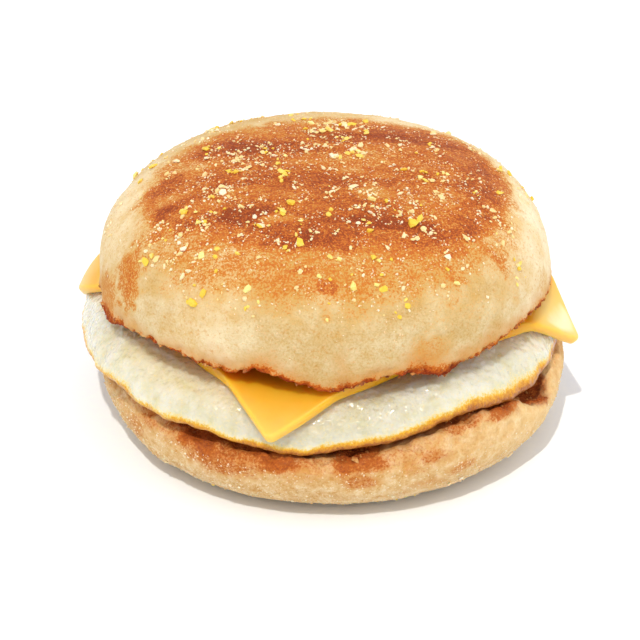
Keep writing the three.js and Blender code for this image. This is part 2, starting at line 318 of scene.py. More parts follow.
def make_bottom_grid():
    """The bottom half before its relief, and how far inwards of its rim's corner each point lies.

    The distance runs along the section: minus on the side, plus on the split face.
    """
    rim_radius = BOTTOM_RADIUS - BOTTOM_RIM_WIDTH
    rim_rise = SPLIT_RIM_HEIGHT - BOTTOM_WIDEST_HEIGHT
    side = quarter(BASE_RADIUS, BOTTOM_WIDEST_HEIGHT, BOTTOM_RADIUS - BASE_RADIUS,
                   -BOTTOM_WIDEST_HEIGHT, BOTTOM_ROUNDNESS, BOTTOM_ROUNDNESS, 90, 0)
    rim = quarter(rim_radius, BOTTOM_WIDEST_HEIGHT, BOTTOM_RIM_WIDTH, rim_rise, 2, 2)
    ring_radius = rim_radius - SPLIT_RING_WIDTH
    profile = joined([
        [(0, 0), (BASE_RADIUS, 0)],
        side,
        rim,
        [(rim_radius, SPLIT_RIM_HEIGHT), (ring_radius, SPLIT_RIM_HEIGHT)],
        [(ring_radius, SPLIT_RIM_HEIGHT), (0, SPLIT_RIM_HEIGHT)],
    ], BOTTOM_POINTS)
    x, y, z = turned(profile)
    radius, azimuth = polar(x, y)
    sideways = smooth(z, 0, BOTTOM_WIDEST_HEIGHT) * smooth(radius, BASE_RADIUS, BOTTOM_RADIUS)
    grown = 1 + swell_at(azimuth, BOTTOM_OUTLINE_SWELLS) * sideways / BOTTOM_RADIUS
    x, y = x * grown, y * grown
    share = np.clip((z - BOTTOM_WIDEST_HEIGHT) / rim_rise, 0, 1)
    z = np.where(z > BOTTOM_WIDEST_HEIGHT,
                 blend(BOTTOM_WIDEST_HEIGHT, split_height(x, y), share), z)
    grid = fitted(np.stack([x, y, z], axis=2), "muffin_bottom")
    return grid, from_point(profile, BOTTOM_CORNER_POINT)


bottom_base, bottom_inwards = make_bottom_grid()
bottom_height = bottom_base[..., 2]
bottom_radius, bottom_azimuth = polar(bottom_base[..., 0], bottom_base[..., 1])
bottom_side = smooth(bottom_height, 0.2, 4) * (1 - smooth(bottom_inwards, 0, 2))
bottom_torn = smooth(bottom_inwards, -3.2, -0.4) * (1 - smooth(bottom_inwards, 9, 16))
# Slow lumps and small ripples of the crust, then the ragged tear and the holes of the crumb.
bottom_push = bottom_side * relief(
    bottom_base, (0.45, 15, 2, 3.1), (0.16, 4.5, 2, 7.7), (0.12, 1.5, 2, 1.9))
bottom_ragged = rough(bottom_base, 3.6, 3, 5.3)
bottom_fine = rough(bottom_base, 1.1, 2, 9.2)
bottom_holes = 1 - smooth(cells(bottom_base, 3.4, 2.2), 0.1, 0.55)
bottom_push += bottom_torn * (0.4 * bottom_ragged + 0.25 * bottom_fine - 0.7 * bottom_holes)
bottom_grid = pushed(bottom_base, bottom_push)
bottom_grid[..., 2] += bottom_torn * 0.35 * bottom_ragged
bottom_grid[..., 2] = np.maximum(bottom_grid[..., 2], 0)

# The tear is toasted dark only in places; browning lies under it, and in blots lower on the side.
# Each blot: azimuth, height, half-widths in degrees and millimetres, and strength.
BOTTOM_TOAST_SWELLS = [
    (-130, 16, 3.0), (-100, 10, 2.2), (-85, 9, 2.8), (-57, 9, 1.8), (-43, 12, 3.6), (-27, 12, 5.0),
    (-3, 14, -2.0), (20, 18, 2.0), (66, 16, 2.0), (120, 24, 2.8), (168, 12, 2.2),
]
BOTTOM_BLOTS = [
    (-114, 17, 34, 7.5, 0.62), (-124, 16, 14, 4.4, 0.8), (-104, 15.5, 13, 4.0, 0.75),
    (-84, 11.5, 4.5, 2.4, 0.5), (-84, 16.5, 10, 3.0, 0.7), (-70, 13, 4, 1.8, 0.3),
    (-58, 11, 6, 2.4, 0.42), (-66, 8.5, 6, 2.0, 0.3),
    (-66, 15.5, 5, 2.0, 0.5), (-57, 20.0, 11, 1.6, 0.5), (-43, 19.2, 10, 1.5, 0.6),
    (-147, 10.5, 6, 4.0, 0.4), (10, 13, 14, 5.0, 0.6),
    (48, 11, 9, 4.0, 0.6), (88, 13, 16, 4.5, 0.7), (132, 12, 11, 4.0, 0.55), (165, 14, 12, 4.0, 0.7),
]
bottom_toast_reach = -3.2 + swell_at(bottom_azimuth, BOTTOM_TOAST_SWELLS)
bottom_toast = smooth(
    bottom_inwards + bottom_toast_reach + 1.5 * bottom_ragged + 0.8 * bottom_fine, -1.2, 2.4)
bottom_blush = rough(bottom_base, 11, 3, 12.4)
bottom_brown = blots(
    bottom_azimuth, bottom_height, BOTTOM_BLOTS,
    0.45 * bottom_blush + 0.3 * bottom_ragged, 360) * smooth(bottom_radius, 36, 42)
bottom_under = smooth(bottom_inwards + 3 * bottom_blush, -6.5, -0.5)
bottom_under *= 0.36 - swell_at(bottom_azimuth, [(-36, 44, 0.34)])
bottom_brown = np.maximum(bottom_brown, bottom_under)
bottom_flour = 1 - smooth(bottom_height + 5 * rough(bottom_base, 9, 2, 31.0), 2, 10)
# Painted light: the crust is painted paler and more golden at the right, high on the side.
bottom_golden = swell_at(bottom_azimuth, [(-26, 50, 0.5)]) * smooth(bottom_height, 5, 12)

muffin_bottom = turned_piece(
    "muffin_bottom_crust", bottom_grid, "muffin_bottom", "muffin_crust",
    toast=bottom_toast, brown=bottom_brown, flour=bottom_flour, golden=bottom_golden,
    holes=bottom_holes * bottom_toast * (1 - swell_at(bottom_azimuth, [(-10, 34, 1.0)])),
)

# Floured tan crust: soft and matt. Noise of about 2.2 mm and 0.5 mm breaks up the tan, brown patches
# sit over it, pale flour dusts the part near the base, and the torn edge goes from tan to rust, with
# painted shade darkest in its holes. The small bumps give the dry, slightly blistered skin.
BREAD = {
    "IOR": 1.45, "Specular IOR Level": 0.2, "Subsurface Weight": 0.12,
    "Subsurface Radius": (1.0, 0.5, 0.2), "Subsurface Scale": 2 * MM,
}
material, tree, place, field = new_material(
    "floured_muffin_crust", "brown", "golden", "flour", "toast", "holes")
mottle = add(tree, "TexNoise", {"Vector": place, "Scale": 0.45, "Detail": 5, "Roughness": 0.7})
grain = add(tree, "TexNoise", {"Vector": place, "Scale": 2.0, "Detail": 3, "Roughness": 0.65})
tan_mix = add(tree, "Math", {0: grain, 1: 0.6, 2: mottle}, operation="MULTIPLY_ADD")
tan = add(tree, "ValToRGB", {0: tan_mix}, stops={
    0.6: "#d29a52", 0.76: "#e0b67a", 0.86: "#eac994", 1.0: "#f4deb6"})
brown_break = add(tree, "Math", {0: grain, 1: 1.2, 2: -0.6}, operation="MULTIPLY_ADD")
brown_sum = add(tree, "Math", {0: field["brown"], 1: brown_break}, operation="ADD")
brown_share = add(tree, "MapRange", {0: brown_sum, 1: 0.04, 2: 0.6, 4: 0.95})
brown = add(tree, "ValToRGB", {0: brown_sum}, stops={
    0.2: "#dda058", 0.45: "#cd7a30", 0.7: "#b85a16", 1.0: "#963f0c"})
dust = add(tree, "TexNoise", {"Vector": place, "Scale": 2.6, "Detail": 2, "Roughness": 0.7})
dust_mask = add(tree, "MapRange", {0: dust, 1: 0.45, 2: 0.62, 3: 0.0, 4: 0.6})
flour = add(tree, "Math", {0: field["flour"], 1: dust_mask}, operation="MULTIPLY")
toast_colour = add(tree, "ValToRGB", {0: grain}, stops={0.3: "#7e3210", 0.5: "#a84c18", 0.7: "#cd7c32"})
# Painted shade in the holes of the torn edge.
hole_share = add(tree, "Math", {0: field["holes"], 1: 0.45}, operation="MULTIPLY")
crust_colour = tan
# The golden share is painted light.
for share, over in [
    (field["golden"], "#f8d498"), (brown_share, brown), (flour, "#f3dfbc"),
    (field["toast"], toast_colour), (hole_share, "#6a2a0e"),
]:
    crust_colour = add(tree, "Mix", {0: share, 6: crust_colour, 7: over}, data_type="RGBA", out=2)
blisters = add(tree, "Bump", {"Height": mottle, "Strength": 0.8, "Distance": 0.8 * MM})
skin = add(tree, "Bump", {"Height": grain, "Strength": 0.9, "Distance": 0.45 * MM, "Normal": blisters})
crust = add(tree, "BsdfPrincipled", {
    "Base Color": crust_colour, "Normal": skin, "Roughness": 0.85, **BREAD})
cover([muffin_bottom], material, crust)


# ---------------------------------------------------------------------------------------------
# Egg patty
# Beaten egg cooked in a steel ring on a griddle: a thick white disc with a rounded shoulder. Its
# top is wet and finely pitted, and its lower edge has run under the ring and fried golden.

EGG_THICKNESS = 8.6
EGG_SHOULDER_RADIUS = 42.5
EGG_SHOULDER_ROUNDNESS = 1.6
EGG_LIP = 1.2
EGG_RING_WIDTH = 8.0
# Points along the underside's middle and outer ring, the lip, the shoulder, and the top's outer ring
# and middle.
EGG_POINTS = (12, 24, 7, 46, 16, 14)
EGG_OUTLINE_SWELLS = [(5, 40, -1.4), (100, 50, 0.6), (162, 30, 1.0)]


def make_egg_grid():
    """The patty before its relief, and each point's height above the underside and radius."""
    shoulder = quarter(EGG_SHOULDER_RADIUS, EGG_LIP, EGG_RADIUS - EGG_SHOULDER_RADIUS,
                       EGG_THICKNESS - EGG_LIP, EGG_SHOULDER_ROUNDNESS, EGG_SHOULDER_ROUNDNESS)
    lip = quarter(EGG_RADIUS - EGG_LIP, EGG_LIP, EGG_LIP, -EGG_LIP, 2, 2, 90, 0)
    ring_radius = EGG_SHOULDER_RADIUS - EGG_RING_WIDTH
    profile = joined([
        [(0, 0), (EGG_DROOP_RADIUS, 0)],
        [(EGG_DROOP_RADIUS, 0), (EGG_RADIUS - EGG_LIP, 0)],
        lip,
        shoulder,
        [(EGG_SHOULDER_RADIUS, EGG_THICKNESS), (ring_radius, EGG_THICKNESS)],
        [(ring_radius, EGG_THICKNESS), (0, EGG_THICKNESS)],
    ], EGG_POINTS)
    x, y, above = turned(profile)
    radius, azimuth = polar(x, y)
    sideways = smooth(radius, EGG_DROOP_RADIUS, EGG_RADIUS)
    grown = 1 + swell_at(azimuth, EGG_OUTLINE_SWELLS) * sideways / EGG_RADIUS
    x, y = EGG_X + x * grown, EGG_Y + y * grown
    z = above + EGG_UNDERSIDE_HEIGHT + egg_lift(x, y)
    return fitted(np.stack([x, y, z], axis=2), "egg_patty"), above, radius


egg_base, egg_above, egg_radius = make_egg_grid()
_, egg_azimuth = polar(egg_base[..., 0], egg_base[..., 1], EGG_X, EGG_Y)
egg_outer = smooth(egg_radius, 36, 44)
egg_lumps = rough(egg_base, 6.5, 2, 41.0)
egg_curds = 1 - smooth(cells(egg_base, 2.6, 44.0), 0.0, 0.62)
egg_edge = smooth(egg_radius, 47.5, 51.5) * (1 - smooth(egg_above, 2.2, 5))
egg_frill = rough(egg_base, 2.4, 3, 47.0)
# The edge is smooth where it ran freely, and rough where it stuck, at the right and at the back.
egg_stuck = swell_at(egg_azimuth, [(-38, 42, 0.1), (110, 60, 0.12)])
egg_push = egg_outer * (
    0.32 * egg_lumps + 0.14 * egg_curds + 0.16 * rough(egg_base, 2.6, 2, 48.0)
    + 0.06 * rough(egg_base, 1.0, 2, 49.0)
) + egg_edge * (
    (0.08 + 0.7 * egg_stuck) * egg_frill + 0.22 * rough(egg_base, 9.0, 2, 52.0)
    + egg_stuck * rough(egg_base, 0.9, 2, 53.0)
)
egg_grid = pushed(egg_base, egg_push)
# In front the rim sags a little onto the muffin.
egg_grid[..., 2] -= egg_edge * swell_at(egg_azimuth, [(-98, 36, 0.95), (-150, 20, 0.3)])

# The fried band is widest towards the right, and fades into the white.
egg_band = 2.9 + swell_at(egg_azimuth, [(-46, 40, 2.0), (-178, 40, 0.2), (110, 60, 0.9)])
egg_fried = 1 - smooth(
    egg_above + 0.6 * egg_lumps + (0.15 + egg_stuck) * egg_frill, 0.3, egg_band)
egg_fried *= 1 - swell_at(egg_azimuth, [(-140, 56, 0.34)])

# Painted warm light: the egg is painted paler and yellower in the shade along the edge of the
# muffin's top half, mostly on the left. That half's axis and radius come in here already.
TOP_X = -1.4
TOP_Y = 1.9
TOP_RADIUS = 47.9
egg_from_muffin, _ = polar(egg_base[..., 0], egg_base[..., 1], TOP_X, TOP_Y)
egg_stain = 1 - smooth(egg_from_muffin - TOP_RADIUS + 0.5 * egg_lumps, -2.5, 2.4)
egg_stain *= 0.05 + swell_at(egg_azimuth, [(-138, 50, 0.5), (150, 40, 0.3)])
# Painted shade: the white is painted a little darker in front.
egg_thin = swell_at(egg_azimuth, [(-92, 48, 0.3)]) * smooth(egg_above, 1.5, 4)

egg_patty = turned_piece(
    "egg_patty_cooked", egg_grid, "egg_patty", "cooked_egg",
    fried=egg_fried, stain=egg_stain, thin=egg_thin,
)

# Cooked egg white: creamy, with faint green-grey mottling about 4 mm across, light that scatters a
# few millimetres into it, and a wet film, so the small bumps catch sharp lights. The fried band is
# golden, then brown at its lowest edge, and drier.
material, tree, place, field = new_material("cooked_egg_white", "stain", "thin", "fried")
mottle = add(tree, "TexNoise", {"Vector": place, "Scale": 0.24, "Detail": 4, "Roughness": 0.6})
grain = add(tree, "TexNoise", {"Vector": place, "Scale": 1.3, "Detail": 3, "Roughness": 0.55})
white = add(tree, "ValToRGB", {0: mottle}, stops={0.3: "#d1cba5", 0.45: "#d7d3bb", 0.62: "#dedbcc"})
fried_grain = add(tree, "TexNoise", {"Vector": place, "Scale": 1.7, "Detail": 4, "Roughness": 0.7})
fried_break = add(tree, "Math", {0: fried_grain, 1: 1.0, 2: -0.5}, operation="MULTIPLY_ADD")
fried_sum = add(tree, "Math", {0: field["fried"], 1: fried_break}, operation="ADD")
fried_share = add(tree, "MapRange", {0: fried_sum, 1: 0.02, 2: 0.42})
fried_colour = add(tree, "ValToRGB", {0: fried_sum}, stops={
    0.1: "#ecd684", 0.3: "#e8c038", 0.52: "#dc9c12", 0.74: "#c67e0a", 0.98: "#9a5206"})
egg_colour = white
# The front share is painted shade.
# The warm share is painted warm light in the shade by the muffin's edge.
for share, over in [
    (field["thin"], "#aba382"), (field["stain"], "#f4dfa8"), (fried_share, fried_colour),
]:
    egg_colour = add(tree, "Mix", {0: share, 6: egg_colour, 7: over}, data_type="RGBA", out=2)
dryness = add(tree, "MapRange", {0: fried_share, 3: 0.2, 4: 0.5})
translucence = add(tree, "MapRange", {0: fried_share, 3: 0.85, 4: 0.15})
pits = add(tree, "TexVoronoi", {"Vector": place, "Scale": 0.75}, feature="SMOOTH_F1")
film = add(tree, "Bump", {"Height": pits, "Strength": 0.9, "Distance": 0.6 * MM})
skin = add(tree, "Bump", {"Height": grain, "Strength": 0.8, "Distance": 0.45 * MM, "Normal": film})
egg_white = add(tree, "BsdfPrincipled", {
    "Base Color": egg_colour, "Roughness": dryness, "Normal": skin, "Coat Normal": film,
    "Coat Weight": 0.7, "Coat Roughness": 0.08, "Coat IOR": 1.34, "IOR": 1.38,
    "Subsurface Weight": translucence, "Subsurface Radius": (1.0, 0.8, 0.5),
    "Subsurface Scale": 7 * MM})
cover([egg_patty], material, egg_white)


# ---------------------------------------------------------------------------------------------
# Cheese slice
# A machine-cut slice of processed cheese, warmed until it is limp. It lies cornerwise on the egg
# and each corner folds over the egg's shoulder. Its cut edge is rounded a little.

CHEESE_X = -1.2
CHEESE_Y = 3.7
CHEESE_SIDE = 81.4
CHEESE_THICKNESS = 2.3
CHEESE_EDGE_ROUND = 0.7
# The power that shapes the rounded edge: 1 is round, and less is squarer.
CHEESE_EDGE_POWER = 0.7
CHEESE_CORNER_ROUND = 1.6
CHEESE_CORNER_AZIMUTH = -101.3
CHEESE_TURN = math.radians(CHEESE_CORNER_AZIMUTH + 45)
CHEESE_BEND_RADIUS = 4.5
# Strength of the painted light and shade at its most, which brings the field to about 0 to 1.
CHEESE_DRIEST = 1.5
# Squares along each side of the slice, and bands up its edge.
CHEESE_CELLS = 150
CHEESE_EDGE_BANDS = 7
# Each corner's fold, as a distance from the egg's axis, and its hang in degrees: the front corner
# first, then the right, the back and the left.
CHEESE_CORNERS = [(43.8, 26), (43.8, 45), (43.5, 33), (43.8, 46)]


def egg_shoulder(share):
    """The share of the shoulder's width reached at a share of its height, or the other way round."""
    return (1 - share ** EGG_SHOULDER_ROUNDNESS) ** (1 / EGG_SHOULDER_ROUNDNESS)


def egg_edge_radius(height):
    """Radius of the egg's edge at a height above its underside."""
    up = np.clip((height - EGG_LIP) / (EGG_THICKNESS - EGG_LIP), 0, 1)
    return EGG_SHOULDER_RADIUS + (EGG_RADIUS - EGG_SHOULDER_RADIUS) * egg_shoulder(up)


def drape(across, along, above):
    """Where points of the flat slice come to lie, and how far each lies towards its corner."""
    flat_x = CHEESE_X + across * math.cos(CHEESE_TURN) - along * math.sin(CHEESE_TURN)
    flat_y = CHEESE_Y + across * math.sin(CHEESE_TURN) + along * math.cos(CHEESE_TURN)
    rel_x, rel_y = flat_x - EGG_X, flat_y - EGG_Y
    best = np.full(across.shape, -np.inf)
    placed = np.zeros(across.shape + (3,))
    for corner, (fold, hang_degrees) in enumerate(CHEESE_CORNERS):
        degrees, hang = CHEESE_CORNER_AZIMUTH + 90 * corner, math.radians(hang_degrees)
        cos, sin = math.cos(math.radians(degrees)), math.sin(math.radians(degrees))
        outwards = rel_x * cos + rel_y * sin
        sideways = rel_y * cos - rel_x * sin
        past = np.maximum(outwards - fold, 0)
        slope = np.minimum(past / CHEESE_BEND_RADIUS, hang)
        straight = np.maximum(past - CHEESE_BEND_RADIUS * hang, 0)
        out = (np.minimum(outwards, fold) + CHEESE_BEND_RADIUS * np.sin(slope)
               + straight * np.cos(slope))
        height = (EGG_THICKNESS + AIR + CHEESE_THICKNESS / 2
                  - CHEESE_BEND_RADIUS * (1 - np.cos(slope)) - straight * np.sin(slope))
        inner_out = out - CHEESE_THICKNESS / 2 * np.sin(slope)
        inner_height = height - CHEESE_THICKNESS / 2 * np.cos(slope)
        edge = egg_edge_radius(inner_height) + swell_at(np.array([degrees]), EGG_OUTLINE_SWELLS)
        pushed = np.where(slope > 0, np.maximum(edge + AIR - inner_out, 0), 0)
        out = out + pushed + above * np.sin(slope)
        x = EGG_X + out * cos - sideways * sin
        y = EGG_Y + out * sin + sideways * cos
        z = EGG_UNDERSIDE_HEIGHT + height + above * np.cos(slope) + egg_lift(x, y)
        nearer = outwards > best
        best = np.where(nearer, outwards, best)
        placed = np.where(nearer[..., None], np.stack([x, y, z], axis=-1), placed)
    return placed, best


def make_cheese():
    """Points and faces of the flat slice: two grids joined by a rounded edge, 2 units thick."""
    n = CHEESE_CELLS + 1
    half = CHEESE_SIDE / 2
    flat = np.linspace(-1, 1, n)
    u, v = np.meshgrid(flat, flat, indexing="ij")
    up, down = range(n - 1), range(n - 1, 0, -1)
    border_u, border_v = np.array(
        [(i, 0) for i in up] + [(n - 1, j) for j in up]
        + [(i, n - 1) for i in down] + [(0, j) for j in down]).T
    count = len(border_u)
    inset = half - CHEESE_EDGE_ROUND
    layers = [np.stack([u * inset, v * inset, 0 * u + sign], axis=-1).reshape(-1, 3) for sign in (-1, 1)]
    for band in range(1, CHEESE_EDGE_BANDS):
        angle = math.radians(-90 + 180 * band / CHEESE_EDGE_BANDS)
        reach = half - CHEESE_EDGE_ROUND * (1 - abs(math.cos(angle)) ** CHEESE_EDGE_POWER)
        level = math.copysign(abs(math.sin(angle)) ** CHEESE_EDGE_POWER, angle)
        layers.append(np.stack(
            [flat[border_u] * reach, flat[border_v] * reach, np.full(count, level)], axis=-1))
    points = np.concatenate(layers)
    # Round the slice's corners in plan.
    over = np.abs(points[:, :2]) - (half - CHEESE_CORNER_ROUND)
    both = (over > 0).all(axis=1)
    scale = np.ones(len(points))
    scale[both] = over[both].max(axis=1) / np.hypot(*over[both].T)
    rounded = (half - CHEESE_CORNER_ROUND) + over * scale[:, None]
    points[:, :2] = np.where(both[:, None], np.sign(points[:, :2]) * rounded, points[:, :2])
    index = np.arange(n * n).reshape(n, n)
    quads = np.stack([index[:-1, :-1], index[1:, :-1], index[1:, 1:], index[:-1, 1:]], axis=-1)
    faces = quads[..., ::-1].reshape(-1, 4).tolist() + (quads + n * n).reshape(-1, 4).tolist()
    border = index[border_u, border_v]
    bands = [2 * n * n + k * count + np.arange(count) for k in range(CHEESE_EDGE_BANDS - 1)]
    rings = [border, *bands, border + n * n]
    for low, high in zip(rings[:-1], rings[1:]):
        faces += np.stack([low, np.roll(low, -1), np.roll(high, -1), high], axis=1).tolist()
    return points, faces


cheese_flat, cheese_faces = make_cheese()
cheese_wave = rough(cheese_flat * (1, 1, 0), 16, 2, 61.0) * 0.22
cheese_points, cheese_out = drape(
    cheese_flat[:, 0], cheese_flat[:, 1], cheese_flat[:, 2] * CHEESE_THICKNESS / 2)
cheese_points[:, 2] += cheese_wave
cheese_points = fitted(cheese_points, "cheese_slice")
# The front corner curls up a little at its very tip, towards the left.
cheese_tip = smooth(-cheese_points[:, 1], 40, 53)
cheese_points += cheese_tip[:, None] * (-0.8, 0.3, 0.6)
# Painted highlight on the right corner, inside its edge, which is 2 mm wide.
cheese_edge = np.clip(np.abs(cheese_flat[:, :2]).max(axis=1) - (CHEESE_SIDE / 2 - 2), 0, 2) / 2
_, cheese_azimuth = polar(cheese_points[:, 0], cheese_points[:, 1])
cheese_dry_patch = swell_at(cheese_azimuth, [(-12, 30, 0.6)]) * (1 - cheese_edge)
cheese_dry_patch *= smooth(cheese_out, 43, 49) * (1 - smooth(cheese_out, 52, 57))

cheese_slice = mesh_piece(
    "cheese_slice_soft", cheese_points, cheese_faces, "cheese_slice", "processed_cheese",
    # Painted light and shade: paler towards the corners, with the painted highlight on the right corner.
    dried=(smooth(cheese_out, 40, 57) + cheese_dry_patch) / CHEESE_DRIEST,
)

# Processed cheese: smooth and waxy. Its colour is painted shade, deeper yellow under the muffin, and
# painted light, paler towards the corners, with a painted highlight on the right corner. Light scatters
# well into it, which softens its edges, and it has a satin shine with a little unevenness about 6 mm
# across.
material, tree, place, field = new_material("processed_cheese", "dried")
cloud = add(tree, "TexNoise", {"Vector": place, "Scale": 0.16, "Detail": 2})
paleness = add(tree, "Math", {0: cloud, 1: 0.23, 2: field["dried"]}, operation="MULTIPLY_ADD")
cheese_colour = add(tree, "ValToRGB", {0: paleness}, stops={
    0.1: "#f39b14", 0.35: "#f9ae24", 0.8: "#f9c058", 1.0: "#fbe2ae"})
shine = add(tree, "MapRange", {0: cloud, 3: 0.3, 4: 0.42})
fine = add(tree, "TexNoise", {"Vector": place, "Scale": 0.9, "Detail": 2})
skin = add(tree, "Bump", {"Height": fine, "Strength": 0.12, "Distance": 0.2 * MM})
cheese = add(tree, "BsdfPrincipled", {
    "Base Color": cheese_colour, "Roughness": shine, "Normal": skin, "IOR": 1.45,
    "Specular IOR Level": 0.4, "Subsurface Weight": 0.85, "Subsurface Radius": (1.0, 0.5, 0.08),
    "Subsurface Scale": 6 * MM})
cover([cheese_slice], material, cheese)


# ---------------------------------------------------------------------------------------------
# Top half of the muffin
# The upper half, griddled face up: a flat brown top, a pale soft shoulder and side that never
# touched the griddle, and a torn, toasted edge where the muffin was split.

TOP_RIM_HEIGHT = 31.1
TOP_DOME_HEIGHT = 26.7
TOP_WALL_ROUNDNESS = 3.15
TOP_DOME_ROUNDNESS = 2.68
TOP_LEAN_Y = -0.03
# The lip runs out to its turn, which lies this far inside the radius and above the rim, and meets the
# dome where that starts.
TOP_LIP = 1.0
TOP_LIP_TURN = (0.3, 0.25)
TOP_DOME_START = 0.8
TOP_RING_WIDTH = 11.0
TOP_WALL_HEIGHT = 11.0
# Points along the underside's middle and outer ring, the lip and the dome, and which of them all lies
# at the lip's outer corner.
TOP_POINTS = (14, 22, 5, 128)
TOP_CORNER_POINT = 36
CHEESE_CLEARANCE = 3.5
TOP_RIM_SWELLS = [
    (-163, 15, -3.3), (-134, 24, 1.6), (-107, 9, 1.9), (-88, 10, -2.2), (-73, 8, 0.7),
    (-59, 8, -1.6), (-30, 21, 2.0), (22, 16, -1.0), (62, 18, 1.3), (101, 15, -1.2),
    (140, 16, 1.0),
]
TOP_OUTLINE_SWELLS = [(-150, 40, 0.5), (-20, 45, 0.4), (80, 50, -0.5)]


def egg_top_height(x, y):
    """Height of the egg's upper face, and minus infinity outside the egg."""
    radius, _ = polar(x, y, EGG_X, EGG_Y)
    out = np.clip((radius - EGG_SHOULDER_RADIUS) / (EGG_RADIUS - EGG_SHOULDER_RADIUS), 0, 1)
    above = EGG_LIP + (EGG_THICKNESS - EGG_LIP) * egg_shoulder(out)
    return np.where(radius > EGG_RADIUS, -np.inf, EGG_UNDERSIDE_HEIGHT + above + egg_lift(x, y))


def cheese_top_height(x, y):
    """Height of the cheese's upper face, were the slice to reach that far."""
    outwards, fold, hang = np.full(x.shape, -np.inf), np.zeros(x.shape), np.zeros(x.shape)
    for corner, (corner_fold, corner_hang) in enumerate(CHEESE_CORNERS):
        azimuth = math.radians(CHEESE_CORNER_AZIMUTH + 90 * corner)
        out = (x - EGG_X) * math.cos(azimuth) + (y - EGG_Y) * math.sin(azimuth)
        nearer = out > outwards
        outwards = np.where(nearer, out, outwards)
        fold = np.where(nearer, corner_fold, fold)
        hang = np.where(nearer, math.radians(corner_hang), hang)
    outer_bend = CHEESE_BEND_RADIUS + CHEESE_THICKNESS / 2
    past = np.maximum(outwards - fold - AIR, 0)
    bent = np.minimum(past, outer_bend * np.sin(hang))
    drop = outer_bend - np.sqrt(outer_bend ** 2 - bent ** 2) + (past - bent) * np.tan(hang)
    top = EGG_UNDERSIDE_HEIGHT + EGG_THICKNESS + AIR + CHEESE_THICKNESS
    return top - drop + egg_lift(x, y)


def underside_height(x, y):
    """Height of the top half's underside: its own rim, or what it lies on where that is higher."""
    _, azimuth = polar(x, y, TOP_X, TOP_Y)
    rim = TOP_RIM_HEIGHT + TOP_LEAN_Y * (y - TOP_Y) + swell_at(azimuth, TOP_RIM_SWELLS)
    across = (x - CHEESE_X) * math.cos(CHEESE_TURN) + (y - CHEESE_Y) * math.sin(CHEESE_TURN)
    along = (y - CHEESE_Y) * math.cos(CHEESE_TURN) - (x - CHEESE_X) * math.sin(CHEESE_TURN)
    on_cheese = np.maximum(np.abs(across), np.abs(along)) < CHEESE_SIDE / 2 + CHEESE_CLEARANCE
    bed = np.where(on_cheese, cheese_top_height(x, y), egg_top_height(x, y)) + AIR
    return np.maximum(rim, bed)


def make_top_grid():
    """The top half before its relief, and how far up from its lip's corner each point lies.

    The distance runs along the section: plus on the side and the top, minus on the underside.
    """
    dome = quarter(0, 0, TOP_RADIUS, TOP_DOME_HEIGHT, TOP_WALL_ROUNDNESS, TOP_DOME_ROUNDNESS)
    dome = dome[dome[:, 1] > TOP_DOME_START]
    rim_radius = TOP_RADIUS - TOP_LIP
    ring_radius = rim_radius - TOP_RING_WIDTH
    profile = joined([
        [(0, 0), (ring_radius, 0)],
        [(ring_radius, 0), (rim_radius, 0)],
        [(rim_radius, 0), (TOP_RADIUS - TOP_LIP_TURN[0], TOP_LIP_TURN[1]), dome[0]],
        dome,
    ], TOP_POINTS)
    profile[-1, 0] = 0
    x, y, above = turned(profile)
    _, azimuth = polar(x, y)
    grown = 1 + swell_at(azimuth, TOP_OUTLINE_SWELLS) / TOP_RADIUS
    x, y = TOP_X + x * grown, TOP_Y + y * grown
    level = TOP_RIM_HEIGHT + TOP_LEAN_Y * (y - TOP_Y)
    to_rim = underside_height(x, y) - level
    z = level + above + to_rim * (1 - smooth(above, 0, TOP_WALL_HEIGHT))
    grid = fitted(np.stack([x, y, z], axis=2), "muffin_top")
    return grid, from_point(profile, TOP_CORNER_POINT)


top_base, top_upwards = make_top_grid()
top_radius, top_azimuth = polar(top_base[..., 0], top_base[..., 1], TOP_X, TOP_Y)
top_outside = smooth(top_upwards, 1, 5)
top_plateau = 1 - smooth(top_radius, 36, 46)
top_torn = (1 - smooth(top_upwards, 0.3, 3.6)) * smooth(top_upwards, -14, -7)
top_push = top_outside * relief(
    top_base, (0.5 - 0.25 * top_plateau, 17, 2, 71.0), (0.15, 4.2, 2, 73.0), (0.06, 1.3, 2, 75.0))
top_ragged = rough(top_base, 3.4, 3, 77.0)
top_fine = rough(top_base, 1.0, 2, 79.0)
top_holes = 1 - smooth(cells(top_base, 3.2, 81.0), 0.1, 0.55)
top_push += top_torn * (0.45 * top_ragged + 0.35 * top_fine - 0.8 * top_holes)
top_grid = pushed(top_base, top_push)
top_grid[..., 2] += top_torn * (0.7 * top_ragged + 0.6 * rough(top_base, 1.5, 3, 78.0))

# The browned face: its border is ragged, well in from the edge at the back, and fades slowly in
# front. Each blot, in millimetres from the axis: x, y, two half-widths and strength.
DARK_BLOTS = [
    (-12, -5, 13, 7, 0.5), (-16.5, -20.5, 6, 3, 0.95), (-3, -30.5, 14, 3.4, 0.5), (0, -16, 9, 5, 0.35),
    (21, 9, 15, 7, 0.35), (33, -11, 7, 7, 0.45), (30, -19.5, 7, 4, 0.35), (14, -23.5, 12, 3.4, 0.25),
    (-18, 9, 12, 4, 0.45), (-35, -14, 6, 3, 0.4), (1, 14, 14, 5, 0.3),
]
LIGHT_BLOTS = [
    (9.7, -12, 6, 3, 0.5), (6, -3, 6, 2.6, 0.35), (-9, -23, 7, 2.4, 0.85), (-28, 2, 7, 4, 0.6),
    (-26, -25, 9, 3, 0.45), (3, -35, 15, 2.0, 0.7), (24, -3, 7, 3, 0.3), (-32, -10, 5, 2.5, 0.4),
]
